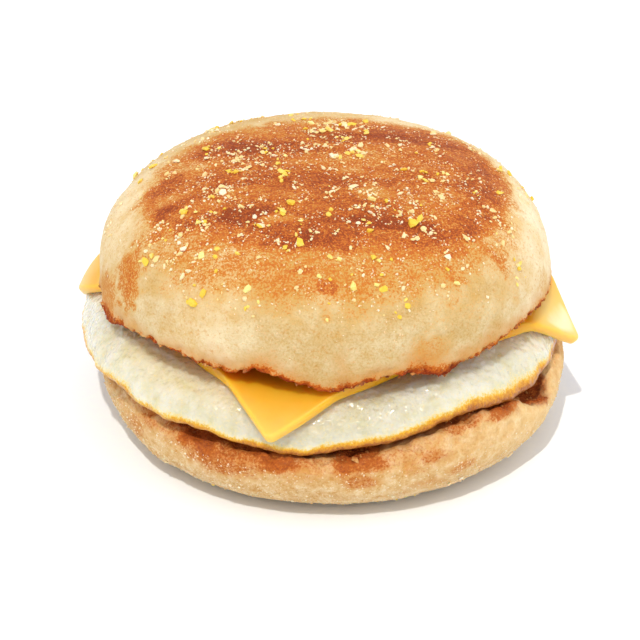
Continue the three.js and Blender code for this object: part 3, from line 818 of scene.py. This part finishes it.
FRONT_BLOTS = [
    (-5, -37, 4.5, 2.2, 0.9), (1, -40.6, 4, 1.8, 0.85), (15, -34.5, 8, 3, 0.8), (24, -33, 6, 2.6, 0.9),
    (-17, -32, 5, 2.2, 0.85), (-26, -27, 7, 2.6, 0.85), (-34, -20, 5, 4, 0.7), (33, -24, 5, 3.4, 0.85),
    (5, -36, 3, 1.6, 0.7),
]
top_x, top_y = top_base[..., 0] - TOP_X, top_base[..., 1] - TOP_Y
top_warp = rough(top_base, 9, 3, 85.0)
top_border = 38.8 + 2.6 * rough(top_base, 14, 3, 83.0) + 1.5 * rough(top_base, 3.5, 3, 85.0)
top_border += swell_at(
    top_azimuth, [(90, 75, -13), (140, 50, -7), (-100, 50, -1.0), (-20, 40, 1.8), (45, 30, -1)])
top_fade = 4.2 + swell_at(top_azimuth, [(-95, 75, 4.6), (100, 90, 3.0)])
top_griddled = 1 - smooth(top_radius, top_border - top_fade, top_border + top_fade)
top_ragged_blots = 0.5 * top_warp + 0.25 * rough(top_base, 2.6, 3, 95.0)
top_front = blots(top_x, top_y, FRONT_BLOTS, top_ragged_blots)
top_griddled = np.where(top_upwards > 3, np.maximum(top_griddled, top_front), 0)
# Gold runs out past the brown, furthest in front.
top_gold_reach = 38.5 + swell_at(
    top_azimuth, [(-142, 50, 6.4), (-90, 52, 5.0), (-38, 52, 6.0), (100, 60, 2.0)])
top_gold = 1 - smooth(
    top_radius + 1.6 * top_warp + 0.9 * rough(top_base, 2.2, 3, 96.0),
    top_gold_reach - 3.0, top_gold_reach + 3.2)
top_gold *= 0.3 + swell_at(
    top_azimuth, [(-140, 60, 0.62), (-90, 55, 0.7), (-38, 60, 0.62), (110, 60, 0.2)])
top_streaks = rough(top_base * (0.5, 1.3, 1.0), 12, 5, 87.0)
top_dark = 0.44 + 0.5 * top_streaks
top_dark += blots(top_x, top_y, DARK_BLOTS, top_ragged_blots) * 0.7
top_dark -= blots(top_x, top_y, LIGHT_BLOTS, top_ragged_blots) * 0.8
top_dark = top_dark.clip(0, 1)
# Tan blots on the pale side: azimuth, height, half-widths in degrees and millimetres, strength.
SIDE_BLOTS = [
    (-150, 44, 8.5, 9.5, 0.44), (-149, 43, 5, 6, 0.5), (-160, 35, 9, 7, 0.42),
    (-90, 47, 2.6, 2.2, 0.26), (-97, 46, 3, 1.6, 0.18), (-56, 46, 3.4, 2.4, 0.24),
    (-63, 38, 6.5, 3.6, 0.26), (-52, 46, 18, 7, 0.17), (-18, 38, 6, 4, 0.24), (-34, 41, 2.6, 2, 0.18),
    (40, 42, 9, 5, 0.28), (84, 47, 6, 3.5, 0.26), (120, 40, 12, 6, 0.32), (150, 48, 5, 3, 0.24),
    (12, 46, 5, 3, 0.2),
]
top_mark_edges = 0.5 * top_warp + 0.4 * rough(top_base, 2.0, 3, 97.0)
top_marks = blots(top_azimuth, top_base[..., 2], SIDE_BLOTS, top_mark_edges, 360)
top_marks = np.where(top_radius > 35, top_marks, 0)
# The crust is paler to the left, right and back than in front.
top_cream = swell_at(
    top_azimuth, [(0, 54, 1.0), (180, 55, 0.7), (-122, 22, 0.45), (60, 50, 0.8), (110, 50, 0.35)])
# Toasting at the tear, further up the side in places.
top_reach = 1.4 + swell_at(top_azimuth, [
    (-63, 13, 4.2), (-45, 10, 1.2), (-86, 12, 2.4), (-103, 9, 2.6), (-118, 7, 1.4), (-162, 18, 4.8),
    (-20, 26, 2.0), (40, 26, 3), (96, 22, 2), (138, 20, 3.4),
])
top_reach += 1.3 * rough(top_base, 8, 2, 93.0)
top_toast = 1 - smooth(
    top_upwards + 0.9 * top_ragged + 0.5 * top_fine, -0.6, np.maximum(0.9 * top_reach, 0.6))
top_tan = 1 - smooth(
    top_upwards + 2.2 * top_warp + 1.2 * top_ragged, -0.5, 3.0 + 1.7 * np.maximum(top_reach, 0))

muffin_top = turned_piece(
    "muffin_top_crust", top_grid, "muffin_top", "muffin_crust",
    griddled=top_griddled, gold=top_gold, dark=top_dark, marks=top_marks, toast=top_toast,
    tan=top_tan, cream=top_cream, holes=top_holes * top_toast,
)

# Griddled crust: the pale side is cream bread skin with pores under a millimetre; the top goes
# through gold to chestnut by how hard it pressed on the griddle, in streaks; the torn edge is
# toasted to dark brown. The griddled face is a little smoother and shinier than the side.
material, tree, place, field = new_material(
    "griddled_muffin_crust", "cream", "griddled", "dark", "marks", "gold", "tan", "toast", "holes")
mottle = add(tree, "TexNoise", {"Vector": place, "Scale": 0.16, "Detail": 5, "Roughness": 0.6})
grain = add(tree, "TexNoise", {"Vector": place, "Scale": 2.2, "Detail": 3, "Roughness": 0.65})
cloud = add(tree, "Math", {0: mottle, 1: 0.7}, operation="MULTIPLY")
blushed = add(tree, "Math", {0: grain, 1: 0.55, 2: cloud}, operation="MULTIPLY_ADD")
front_pale = add(tree, "ValToRGB", {0: blushed}, stops={
    0.42: "#c0924a", 0.56: "#cbaa70", 0.66: "#d3ba8a", 0.8: "#e2d2a8"})
cream_skin = add(tree, "ValToRGB", {0: blushed}, stops={
    0.45: "#ecca8c", 0.62: "#f4dfb6", 0.78: "#f9eac8"})
specks = add(tree, "TexNoise", {"Vector": place, "Scale": 1.25, "Detail": 3, "Roughness": 0.6})
speck_share = add(tree, "MapRange", {0: specks, 1: 0.56, 2: 0.72, 4: 0.6})
depth = add(tree, "MapRange", {0: field["dark"], 3: 0.38, 4: 0.98})
pressed = add(tree, "Math", {0: field["griddled"], 1: depth}, operation="MULTIPLY")
gilded = add(tree, "Math", {0: field["gold"], 1: 0.37}, operation="MULTIPLY")
marked = add(tree, "Math", {0: gilded, 1: field["marks"]}, operation="MAXIMUM")
both = add(tree, "Math", {0: pressed, 1: marked}, operation="MAXIMUM")
speckle = add(tree, "Math", {0: grain, 1: 1.9, 2: -0.98}, operation="MULTIPLY_ADD")
streaked = add(tree, "VectorMath", {0: place, 1: (0.3, 0.5, 0.5)}, operation="MULTIPLY")
ripple = add(tree, "TexNoise", {"Vector": streaked, "Scale": 1.0, "Detail": 5, "Roughness": 0.7})
patch = add(tree, "Math", {0: ripple, 1: 0.8, 2: -0.4}, operation="MULTIPLY_ADD")
rough_sum = add(tree, "Math", {0: speckle, 1: patch}, operation="ADD")
# The paler the crust, the less its browning varies from grain to grain.
variety = add(tree, "MapRange", {0: both, 1: 0.1, 2: 0.7, 3: 0.3, 4: 1.15})
uneven = add(tree, "Math", {0: rough_sum, 1: variety}, operation="MULTIPLY")
browning = add(tree, "Math", {0: both, 1: uneven}, operation="ADD")
brown_share = add(tree, "MapRange", {0: browning, 1: 0.03, 2: 0.42})
brown_colour = add(tree, "ValToRGB", {0: browning}, stops={
    0.08: "#d8b26c", 0.22: "#d6a24c", 0.4: "#cb8230", 0.6: "#c66b2a", 0.8: "#a94e1e", 1.0: "#863818"})
tan_break = add(tree, "Math", {0: speckle, 1: 0.45, 2: field["tan"]}, operation="MULTIPLY_ADD")
tan_share = add(tree, "MapRange", {0: tan_break, 1: 0.15, 2: 1.1, 4: 0.85})
toast_sum = add(tree, "Math", {0: speckle, 1: 0.7, 2: field["toast"]}, operation="MULTIPLY_ADD")
toast_share = add(tree, "MapRange", {0: toast_sum, 1: 0.1, 2: 0.5})
toast_colour = add(tree, "ValToRGB", {0: toast_sum}, stops={
    0.2: "#dda05a", 0.45: "#cc7020", 0.75: "#ac4810", 1.0: "#842c06"})
# Painted shade in the holes of the torn edge.
hole_share = add(tree, "Math", {0: field["holes"], 1: 0.5}, operation="MULTIPLY")
crust_colour = front_pale
for share, over in [
    (field["cream"], cream_skin), (speck_share, "#cc8f40"), (brown_share, brown_colour),
    (tan_share, "#cf8d44"), (toast_share, toast_colour), (hole_share, "#5e2a12"),
]:
    crust_colour = add(tree, "Mix", {0: share, 6: crust_colour, 7: over}, data_type="RGBA", out=2)
finish = add(tree, "MapRange", {0: field["griddled"], 3: 0.85, 4: 0.6})
pores = add(tree, "TexVoronoi", {"Vector": place, "Scale": 1.1}, feature="SMOOTH_F1")
blisters = add(tree, "Bump", {"Height": mottle, "Strength": 0.5, "Distance": 0.8 * MM})
pitted = add(tree, "Bump", {
    "Height": pores, "Strength": 0.45, "Distance": 0.25 * MM, "Normal": blisters})
skin = add(tree, "Bump", {"Height": grain, "Strength": 0.8, "Distance": 0.38 * MM, "Normal": pitted})
crust = add(tree, "BsdfPrincipled", {
    "Base Color": crust_colour, "Roughness": finish, "Normal": skin, **BREAD})
cover([muffin_top], material, crust)


# ---------------------------------------------------------------------------------------------
# Cornmeal and flour on the crust
# Muffins are griddled on cornmeal. What sticks is hard angular grits, cream or yellow, and fine
# pale meal and flour. The grits lie in clusters where the dough was wet.

GRIT_RANDOM = np.random.default_rng(17)
# How far from the top's axis the loose grits lie.
GRIT_REACH = 46.0
# Clusters on the top, in millimetres from its axis: x, y, spread and share of all grits.
GRIT_CLUSTERS = [
    (-14, -4, 3, 8), (-8, -4, 2.5, 6), (1, 12, 3, 6), (5, 8, 3, 6), (-17, 3, 3, 5), (-22, 3, 4, 6),
    (-23, -11, 3, 8), (-29, -21, 3, 7), (-14, -25, 3, 4), (-9, -21, 6, 8), (-2, -22, 4, 5),
    (-27, -30, 3, 6), (-12, -32, 4, 5), (-7, -32, 3, 5), (-4, 16, 3, 6), (2, 20, 3, 6), (-9, 6, 3, 6),
    (-15, 8, 3, 4), (15, 11, 4, 7), (21, -2, 3, 5), (27, -5, 3, 4), (5, -12, 3, 5), (12, -16, 4, 6),
    (18, -17, 4, 8), (22, -15, 3, 5), (15, -22, 4, 8), (10, -32, 4, 4), (12, -36, 4, 3), (13, -39, 3, 3),
    (6, -40, 3, 3), (32, -15, 3, 3), (-10, 30, 7, 4), (16, 26, 7, 4),
]
# Clusters on the side of the top half: azimuth, height, spread and share.
SIDE_CLUSTERS = [
    (-128, 48, 2.5, 6), (-113, 48, 2.0, 4), (-31, 45, 2.5, 6), (-151, 50, 2.0, 3), (-70, 49, 1.5, 2),
    (-45, 43, 1.5, 2), (20, 48, 3, 3), (75, 46, 4, 4), (130, 47, 4, 4), (168, 45, 3, 3),
]
# Rays that look for the crust start this far from the middle, in metres, clear of the sandwich.
RAY_START = 0.09
# How far a grain leans, and its length, width and thickness as shares of its size.
GRAIN_LEAN = 0.25
GRAIN_LENGTHS = (0.75, 1.35)
GRAIN_WIDTHS = (0.6, 1.0)
GRAIN_THICKNESSES = (0.7, 1.3)
# Each grain starts as a regular solid of 20 triangles.
ICO_T = (1 + 5 ** 0.5) / 2
ICO_POINTS = np.array([
    (-1, ICO_T, 0), (1, ICO_T, 0), (-1, -ICO_T, 0), (1, -ICO_T, 0),
    (0, -1, ICO_T), (0, 1, ICO_T), (0, -1, -ICO_T), (0, 1, -ICO_T),
    (ICO_T, 0, -1), (ICO_T, 0, 1), (-ICO_T, 0, -1), (-ICO_T, 0, 1),
]) / np.hypot(1, ICO_T)
ICO_FACES = np.array([
    (0, 11, 5), (0, 5, 1), (0, 1, 7), (0, 7, 10), (0, 10, 11), (1, 5, 9), (5, 11, 4),
    (11, 10, 2), (10, 7, 6), (7, 1, 8), (3, 9, 4), (3, 4, 2), (3, 2, 6), (3, 6, 8), (3, 8, 9),
    (4, 9, 5), (2, 4, 11), (6, 2, 10), (8, 6, 7), (9, 8, 1),
])


def surface_of(piece):
    """A search tree for the faces of a piece."""
    mesh = piece.data
    return BVHTree.FromPolygons(
        [vertex.co for vertex in mesh.vertices], [face.vertices[:] for face in mesh.polygons])


def grains(name, spots, sizes, flatness, jitter, slot=None, sink=0.25):
    """One mesh of angular grains, each at a spot (place, normal) and with `sink` of it in the crust."""
    rng = GRIT_RANDOM
    count = len(spots)
    corners = len(ICO_POINTS)
    places, normals = np.array(spots).transpose(1, 0, 2)
    places = places / MM
    # Each grain's own frame: its third axis leans near the surface's normal.
    third = normals + rng.normal(0, GRAIN_LEAN, (count, 3))
    third /= np.linalg.norm(third, axis=1, keepdims=True)
    side = np.cross(third, rng.normal(0, 1, (count, 3)))
    side /= np.linalg.norm(side, axis=1, keepdims=True)
    turn = np.stack([side, np.cross(third, side), third], axis=1)
    shape = ICO_POINTS[None] * (1 + rng.uniform(-jitter, jitter, (count, corners, 1)))
    lengths, widths = rng.uniform(*GRAIN_LENGTHS, count), rng.uniform(*GRAIN_WIDTHS, count)
    stretch = np.stack([lengths, widths, flatness * rng.uniform(*GRAIN_THICKNESSES, count)], axis=1)
    shape = shape * stretch[:, None] * (sizes / 2)[:, None, None]
    shape = np.einsum("gvk,gkc->gvc", shape, turn)
    lift = (sizes / 2 * stretch[:, 2] * (1 - 2 * sink))[:, None]
    vertices = shape + (places + normals * lift)[:, None]
    faces = ICO_FACES[None] + corners * np.arange(count)[:, None, None]
    tint = np.repeat(rng.uniform(0, 1, count), corners)
    return mesh_piece(name, vertices.reshape(-1, 3), faces.reshape(-1, 3).tolist(), None, slot,
                      smooth_shaded=False, tint=tint)


def sizes_for(spots, middle, spread, least, most):
    """A random size for each spot, in millimetres, mostly near the middle one."""
    return GRIT_RANDOM.lognormal(math.log(middle), spread, len(spots)).clip(least, most)


def pick_cluster(clusters):
    """One of the clusters, by its share, which is its fourth value."""
    shares = np.array([cluster[3] for cluster in clusters], float)
    return clusters[GRIT_RANDOM.choice(len(clusters), p=shares / shares.sum())]


def spots_on_top(surface, count, loose, wider, huddle, gap=0.7):
    """Spots on the top half: most in clusters, and a share `loose` anywhere on it.

    Each place found gets a random number of spots between the two of `huddle`, about `gap` apart.
    """
    rng = GRIT_RANDOM
    found = []
    while len(found) < count:
        if rng.uniform() < loose:
            radius, angle = GRIT_REACH * math.sqrt(rng.uniform()), rng.uniform(0, 2 * math.pi)
            x, y = radius * math.cos(angle), radius * math.sin(angle)
        else:
            middle_x, middle_y, spread, _ = pick_cluster(GRIT_CLUSTERS)
            x, y = rng.normal(middle_x, spread * wider), rng.normal(middle_y, spread * wider * 0.8)
        for _ in range(rng.integers(huddle[0], huddle[1] + 1)):
            near_x, near_y = x + rng.normal(0, gap), y + rng.normal(0, gap)
            if math.hypot(near_x, near_y) > GRIT_REACH + 1:
                continue
            origin = Vector(((TOP_X + near_x) * MM, (TOP_Y + near_y) * MM, RAY_START))
            place, normal, _, _ = surface.ray_cast(origin, Vector((0, 0, -1)))
            if place is not None and normal.z > 0:
                found.append((tuple(place), tuple(normal)))
    return found


def spots_on_side(surface, count, low, high, clusters=None):
    """Spots on an upright side, between two heights or in clusters (azimuth, height, spread, share)."""
    rng = GRIT_RANDOM
    found = []
    while len(found) < count:
        degrees, height = rng.uniform(-180, 180), low + (high - low) * rng.uniform() ** 1.3
        if clusters:
            middle_azimuth, middle_height, spread, _ = pick_cluster(clusters)
            degrees = rng.normal(middle_azimuth, math.degrees(spread / TOP_RADIUS))
            height = rng.normal(middle_height, spread)
        out = Vector((math.cos(math.radians(degrees)), math.sin(math.radians(degrees)), 0))
        origin = Vector((0, 0, height * MM)) + out * RAY_START
        place, normal, _, _ = surface.ray_cast(origin, -out)
        if place is not None:
            found.append((tuple(place), tuple(normal)))
    return found


top_surface = surface_of(muffin_top)
bottom_surface = surface_of(muffin_bottom)

fine_spots = spots_on_top(top_surface, 3400, 0.5, 2.0, (1, 4))
fine_spots += spots_on_side(bottom_surface, 5600, 0.6, 14) + spots_on_side(top_surface, 160, 38, 54)
fine_sizes = sizes_for(fine_spots, 0.27, 0.35, 0.14, 0.6)
fine_meal = grains("fine_cornmeal", fine_spots, fine_sizes, 0.6, 0.4)

cream_spots = spots_on_top(top_surface, 1050, 0.4, 1.3, (1, 7), 0.75)
cream_spots += spots_on_side(top_surface, 26, 42, 55, SIDE_CLUSTERS)
cream_spots += spots_on_side(bottom_surface, 90, 0.8, 9)
cream_sizes = sizes_for(cream_spots, 0.62, 0.42, 0.3, 1.8)
cream_grits = grains("cream_cornmeal_grits", cream_spots, cream_sizes, 0.5, 0.4)

yellow_spots = spots_on_top(top_surface, 160, 0.4, 1.2, (1, 3), 0.9)
yellow_spots += spots_on_side(top_surface, 34, 38, 54, SIDE_CLUSTERS)
yellow_low_spots = spots_on_side(bottom_surface, 60, 0.6, 5)
yellow_spots += yellow_low_spots
yellow_sizes = sizes_for(yellow_spots, 1.1, 0.38, 0.5, 2.4)
# Near the floor only the smaller ones have stuck.
yellow_sizes[-len(yellow_low_spots):] *= 0.6
yellow_grits = grains("yellow_cornmeal_grits", yellow_spots, yellow_sizes, 0.5, 0.35)

# Cornmeal: the hard horny part of maize, cream to yellow, slightly glassy, so light goes into each
# grain. Every grain has its own tint.
for piece, name, light, deep, gloss in [
    (fine_meal, "fine_pale_cornmeal", "#f6e6c8", "#e9c896", 0.6),
    (cream_grits, "cream_cornmeal", "#f6e9cb", "#eed08c", 0.45),
    (yellow_grits, "yellow_cornmeal", "#f7e694", "#ecc63a", 0.4),
]:
    material, tree, place, field = new_material(name, "tint")
    flecks = add(tree, "TexNoise", {"Vector": place, "Scale": 2.2, "Detail": 2})
    mixed = add(tree, "Math", {0: flecks, 1: 0.4, 2: field["tint"]}, operation="MULTIPLY_ADD")
    colour = add(tree, "ValToRGB", {0: mixed}, stops={0.2: light, 1.2 / 1.4: deep})
    chips = add(tree, "Bump", {"Height": flecks, "Strength": 0.4, "Distance": 0.1 * MM})
    cornmeal = add(tree, "BsdfPrincipled", {
        "Base Color": colour, "Normal": chips, "Roughness": gloss, "Subsurface Weight": 0.2,
        "Subsurface Scale": 0.5 * MM})
    cover([piece], material, cornmeal)


# ---------------------------------------------------------------------------------------------
# Crumbs on the torn edges
# Where the muffin was split, small toasted crumbs still hang on the torn crust of both halves.

CRUMB_COUNT = 260


def spots_on_rim(grid, inwards, low, high):
    """Random points of a turned grid whose distance from its rim is between low and high."""
    normals = grid_normals(grid)
    rings, columns = np.nonzero((inwards > low) & (inwards < high))
    picks = GRIT_RANDOM.choice(len(rings), CRUMB_COUNT, replace=False)
    rings, columns = rings[picks], columns[picks]
    return np.stack([grid[rings, columns] * MM, normals[rings, columns]], axis=1)


# Each: piece, torn grid, distance inwards where it is toasted, and the least and most of it.
crumb_pieces = []
for name, grid, inwards, low, high in [
    ("top_edge_crumbs", top_grid, np.where(top_toast > 0.5, -top_upwards, -np.inf), -2.2, 0.9),
    ("bottom_edge_crumbs", bottom_grid, np.where(bottom_toast > 0.6, bottom_inwards, -np.inf), -2.5, 4),
]:
    spots = spots_on_rim(grid, inwards, low, high)
    sizes = sizes_for(spots, 0.42, 0.45, 0.2, 1.5)
    crumb_pieces.append(grains(name, spots, sizes, 0.8, 0.5, "muffin_crust", sink=0.35))

# Toasted crumb: dry bread, from tan to dark brown from one crumb to the next.
material, tree, place, field = new_material("toasted_crumb", "tint")
flecks = add(tree, "TexNoise", {"Vector": place, "Scale": 1.2, "Detail": 3})
patches = add(tree, "TexNoise", {"Vector": place, "Scale": 0.12, "Detail": 2})
mixed = add(tree, "Math", {0: field["tint"], 1: 0.45, 2: flecks}, operation="MULTIPLY_ADD")
shifted = add(tree, "Math", {0: patches, 1: 1.3, 2: mixed}, operation="MULTIPLY_ADD")
halved = add(tree, "Math", {0: shifted, 1: 0.5}, operation="MULTIPLY")
colour = add(tree, "ValToRGB", {0: halved}, stops={
    0.42: "#6e2f10", 0.58: "#9c5222", 0.74: "#bd7a3a", 0.88: "#d8a866"})
pitting = add(tree, "Bump", {"Height": flecks, "Strength": 0.6, "Distance": 0.2 * MM})
crumb = add(tree, "BsdfPrincipled", {"Base Color": colour, "Normal": pitting, "Roughness": 0.9})
cover(crumb_pieces, material, crumb)


# ---------------------------------------------------------------------------------------------
# Floor, light and camera
# A wide white card to stand on, soft white light from a tent all round, and one high lamp in front,
# a little to the left.

FLOOR_SIZE = 6.0
SKY_COLOUR = "#f8f9fc"
# Brightness of the tent by height, from the horizon (0) to straight above (1), and what its two
# side walls add, from the left one (0) to the right one (1).
ROOF_STEPS = {0.0: 1.03, 0.11: 1.03, 0.17: 0.26, 0.4: 0.54, 0.8: 0.94, 1.0: 1.0}
WALL_STEPS = {0.0: 0.45, 0.16: 0.16, 0.32: 0.04, 0.7: 0.04, 0.86: 0.5, 1.0: 0.95}
LAMP_COLOUR = "#fff8ec"
LAMP_STRENGTH = 1.75
LAMP_ELEVATION = 59.0
LAMP_AZIMUTH = -101.0
LAMP_SPREAD = 1.6
# Degrees, metres, and millimetres for the lens and its sensor.
CAMERA_ELEVATION = 30.3
CAMERA_DISTANCE = 0.7
CAMERA_AIM = Vector((-2.45 * MM, 1.57 * MM, 20.05 * MM))
CAMERA_LENS = 182.7
CAMERA_SENSOR = 36
CAMERA_NEAR = 0.01

floor_mesh = bpy.data.meshes.new("floor")
corner = FLOOR_SIZE / 2
floor_mesh.from_pydata(
    [(-corner, -corner, 0), (corner, -corner, 0), (corner, corner, 0), (-corner, corner, 0)],
    [], [(0, 1, 2, 3)])
floor = in_scene("floor", floor_mesh)
# White card, matt, with a trace of grain.
material, tree, place, _ = new_material("white_card")
fibres = add(tree, "TexNoise", {"Vector": place, "Scale": 0.5, "Detail": 2})
card = add(tree, "ValToRGB", {0: fibres}, stops={0.3: "#f1f7ff", 0.7: "#f5faff"})
matt = add(tree, "BsdfPrincipled", {"Base Color": card, "Roughness": 1.0, "Specular IOR Level": 0.1})
cover([floor], material, matt)

world = bpy.data.worlds.new("light_tent")
world.use_nodes = True
tree = world.node_tree
background = tree.nodes["Background"]
background.inputs["Color"].default_value = linear(SKY_COLOUR)
direction = add(tree, "TexCoord", out="Generated")
rightwards, _, upwards = add(tree, "SeparateXYZ", {0: direction}).node.outputs
across = add(tree, "MapRange", {0: rightwards, 1: -1.0, 2: 1.0})
walls = add(tree, "ValToRGB", {0: across}, stops=WALL_STEPS)
roof = add(tree, "ValToRGB", {0: upwards}, stops=ROOF_STEPS)
brightness = add(tree, "Math", {0: walls, 1: roof}, operation="ADD")
tree.links.new(brightness, background.inputs["Strength"])
bpy.context.scene.world = world

lamp_data = bpy.data.lights.new("key_lamp", "SUN")
lamp_data.energy = LAMP_STRENGTH
lamp_data.color = linear(LAMP_COLOUR)[:3]
lamp_data.angle = math.radians(LAMP_SPREAD)
lamp = in_scene("key_lamp", lamp_data)
rise, bearing = math.radians(LAMP_ELEVATION), math.radians(LAMP_AZIMUTH)
level = math.cos(rise)
lamp.location = (level * math.cos(bearing), level * math.sin(bearing), math.sin(rise))
lamp.rotation_euler = lamp.location.to_track_quat("Z", "Y").to_euler()

camera_data = bpy.data.cameras.new("camera")
camera_data.lens = CAMERA_LENS
camera_data.sensor_width = CAMERA_SENSOR
camera_data.clip_start = CAMERA_NEAR
camera = in_scene("camera", camera_data)
tilt = math.radians(CAMERA_ELEVATION)
camera.location = CAMERA_AIM + CAMERA_DISTANCE * Vector((0, -math.cos(tilt), math.sin(tilt)))
camera.rotation_euler = (math.radians(90) - tilt, 0, 0)
bpy.context.scene.camera = camera
bpy.context.scene.view_settings.view_transform = "Standard"
